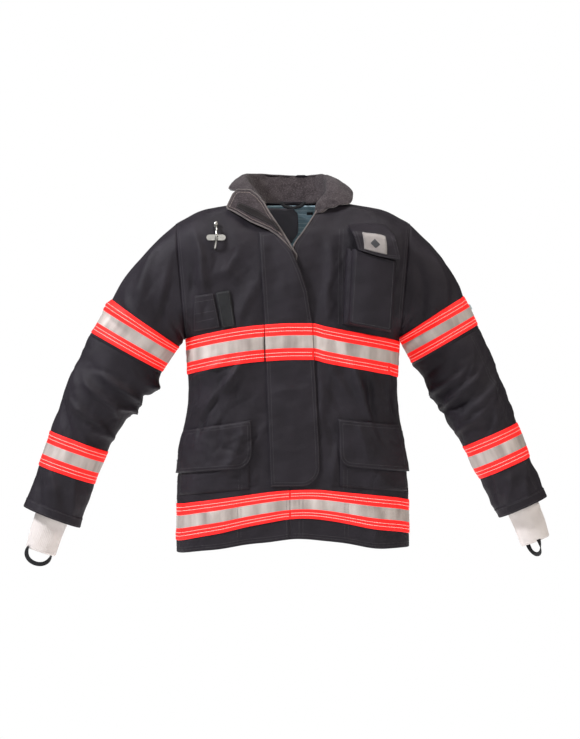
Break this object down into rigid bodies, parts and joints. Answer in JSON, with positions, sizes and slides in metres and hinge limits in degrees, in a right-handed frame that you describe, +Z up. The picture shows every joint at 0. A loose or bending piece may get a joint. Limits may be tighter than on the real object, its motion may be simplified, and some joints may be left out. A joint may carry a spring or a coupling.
{
  "type": "turnout coat",
  "caption": "Firefighter's turnout coat on its hanger loop, with storm flap, zip, reflective trim, pockets, stand collar, bending sleeves and knit wristlets.",
  "frame": {"origin": "middle of the hanger loop, inside the back of the neck", "axes": "+Z up, the front of the coat faces -Y, +X is the wearer's left"},
  "size_m": [1.1198, 0.2417, 0.829],
  "materials": {
    "shell_cloth": "woven aramid, near black",
    "barrier_cloth": "coated film cloth",
    "liner_cloth": "quilted check liner",
    "collar_cloth": "heather collar lining",
    "trim_tape": "fluorescent and silver reflective trim",
    "grip_tape": "hook and loop tape",
    "knit": "ribbed knit",
    "black_tape": "woven tape",
    "zip_tape": "zip tape and moulded teeth",
    "zip_metal": "worn brass plated",
    "bright_metal": "bright nickel",
    "patch_cloth": "silver grey embroidered patch"
  },
  "bodies": {
    "coat": {"back_shell": "shell_cloth", "right_front_shell": "shell_cloth", "left_front_shell": "shell_cloth", "moisture_barrier": "barrier_cloth", "thermal_liner": "liner_cloth", "right_front_facing": "shell_cloth", "left_front_facing": "shell_cloth", "right_zip_half": "zip_tape", "left_zip_half": "zip_tape", "zip_box": "zip_metal", "chest_trim_back": "trim_tape", "chest_trim_right": "trim_tape", "chest_trim_left": "trim_tape", "hem_trim_back": "trim_tape", "hem_trim_right": "trim_tape", "hem_trim_left": "trim_tape", "loop_tape": "grip_tape", "right_cargo_pocket": "shell_cloth", "left_cargo_pocket": "shell_cloth", "radio_pocket": "shell_cloth", "flashlight_patch": "shell_cloth", "hook_plate": "bright_metal", "hook_bar": "bright_metal", "hook_rivets": "bright_metal", "collar_back": "collar_cloth", "right_collar": "collar_cloth", "left_collar": "collar_cloth", "hanger_loop": "black_tape", "drag_strap": "black_tape"},
    "storm_flap": {"storm_flap": "shell_cloth", "storm_flap_trim": "trim_tape", "hook_tape": "grip_tape"},
    "zip_slider": {"zip_slider": "zip_metal", "zip_pull": "zip_metal"},
    "right_cargo_flap": {"right_cargo_flap": "shell_cloth"},
    "left_cargo_flap": {"left_cargo_flap": "shell_cloth"},
    "radio_flap": {"radio_flap": "shell_cloth", "radio_patch": "patch_cloth"},
    "flashlight_strap": {"flashlight_strap": "shell_cloth"},
    "drag_flap": {"drag_flap": "shell_cloth"},
    "right_upper_arm": {"right_upper_sleeve": "shell_cloth", "right_upper_sleeve_liner": "liner_cloth", "right_upper_sleeve_trim": "trim_tape"},
    "right_lower_arm": {"right_forearm": "shell_cloth", "right_forearm_liner": "liner_cloth", "right_forearm_trim": "trim_tape", "right_cuff": "shell_cloth", "right_wristlet": "knit"},
    "right_thumb_loop": {"right_thumb_loop": "black_tape"},
    "left_upper_arm": {"left_upper_sleeve": "shell_cloth", "left_upper_sleeve_liner": "liner_cloth", "left_upper_sleeve_trim": "trim_tape"},
    "left_lower_arm": {"left_forearm": "shell_cloth", "left_forearm_liner": "liner_cloth", "left_forearm_trim": "trim_tape", "left_cuff": "shell_cloth", "left_wristlet": "knit"},
    "left_thumb_loop": {"left_thumb_loop": "black_tape"}
  },
  "joints": [
    {"name": "storm_flap_lift", "type": "hinge", "parent": "coat", "child": "storm_flap", "pos_m": [-0.071, -0.1439, -0.066], "axis": [0.0452, 0, -0.999], "range_deg": [0, 100]},
    {"name": "zip_slide", "type": "slide", "parent": "coat", "child": "zip_slider", "axis": [0, 0, -1], "range_m": [0, 0.45]},
    {"name": "right_cargo_flap_lift", "type": "hinge", "parent": "coat", "child": "right_cargo_flap", "pos_m": [-0.17516, -0.13636, -0.47058], "axis": [-0.889, 0.4336, -0.1471], "range_deg": [0, 100]},
    {"name": "left_cargo_flap_lift", "type": "hinge", "parent": "coat", "child": "left_cargo_flap", "pos_m": [0.17451, -0.13636, -0.463], "axis": [-0.8935, -0.4358, 0.1081], "range_deg": [0, 100]},
    {"name": "radio_flap_lift", "type": "hinge", "parent": "coat", "child": "radio_flap", "pos_m": [0.1585, -0.125, -0.05], "axis": [-1, 0, 0], "range_deg": [0, 100]},
    {"name": "flashlight_strap_lift", "type": "hinge", "parent": "coat", "child": "flashlight_strap", "pos_m": [-0.145, -0.1418, -0.1868], "axis": [-1, 0, 0], "range_deg": [0, 120]},
    {"name": "drag_flap_lift", "type": "hinge", "parent": "coat", "child": "drag_flap", "pos_m": [0, 0.0627, -0.1018], "axis": [1, 0, 0], "range_deg": [0, 110]},
    {"name": "right_shoulder_swing", "type": "hinge", "parent": "coat", "child": "right_upper_arm", "pos_m": [-0.248, -0.041, -0.045], "axis": [0, 1, 0], "range_deg": [0, 50]},
    {"name": "right_elbow_bend", "type": "hinge", "parent": "right_upper_arm", "child": "right_lower_arm", "pos_m": [-0.381, -0.1065, -0.366], "axis": [-0.891, 0, 0.454], "range_deg": [0, 75]},
    {"name": "right_thumb_loop_swing", "type": "hinge", "parent": "right_lower_arm", "child": "right_thumb_loop", "pos_m": [-0.53209, -0.041, -0.732], "axis": [-0.9511, 0, 0.309], "range_deg": [-40, 40]},
    {"name": "left_shoulder_swing", "type": "hinge", "parent": "coat", "child": "left_upper_arm", "pos_m": [0.248, -0.041, -0.045], "axis": [0, -1, 0], "range_deg": [0, 50]},
    {"name": "left_elbow_bend", "type": "hinge", "parent": "left_upper_arm", "child": "left_lower_arm", "pos_m": [0.346, -0.1055, -0.341], "axis": [-0.891, 0, -0.454], "range_deg": [0, 75]},
    {"name": "left_thumb_loop_swing", "type": "hinge", "parent": "left_lower_arm", "child": "left_thumb_loop", "pos_m": [0.51262, -0.041, -0.70975], "axis": [0.9336, 0, 0.3584], "range_deg": [-40, 40]}
  ]
}
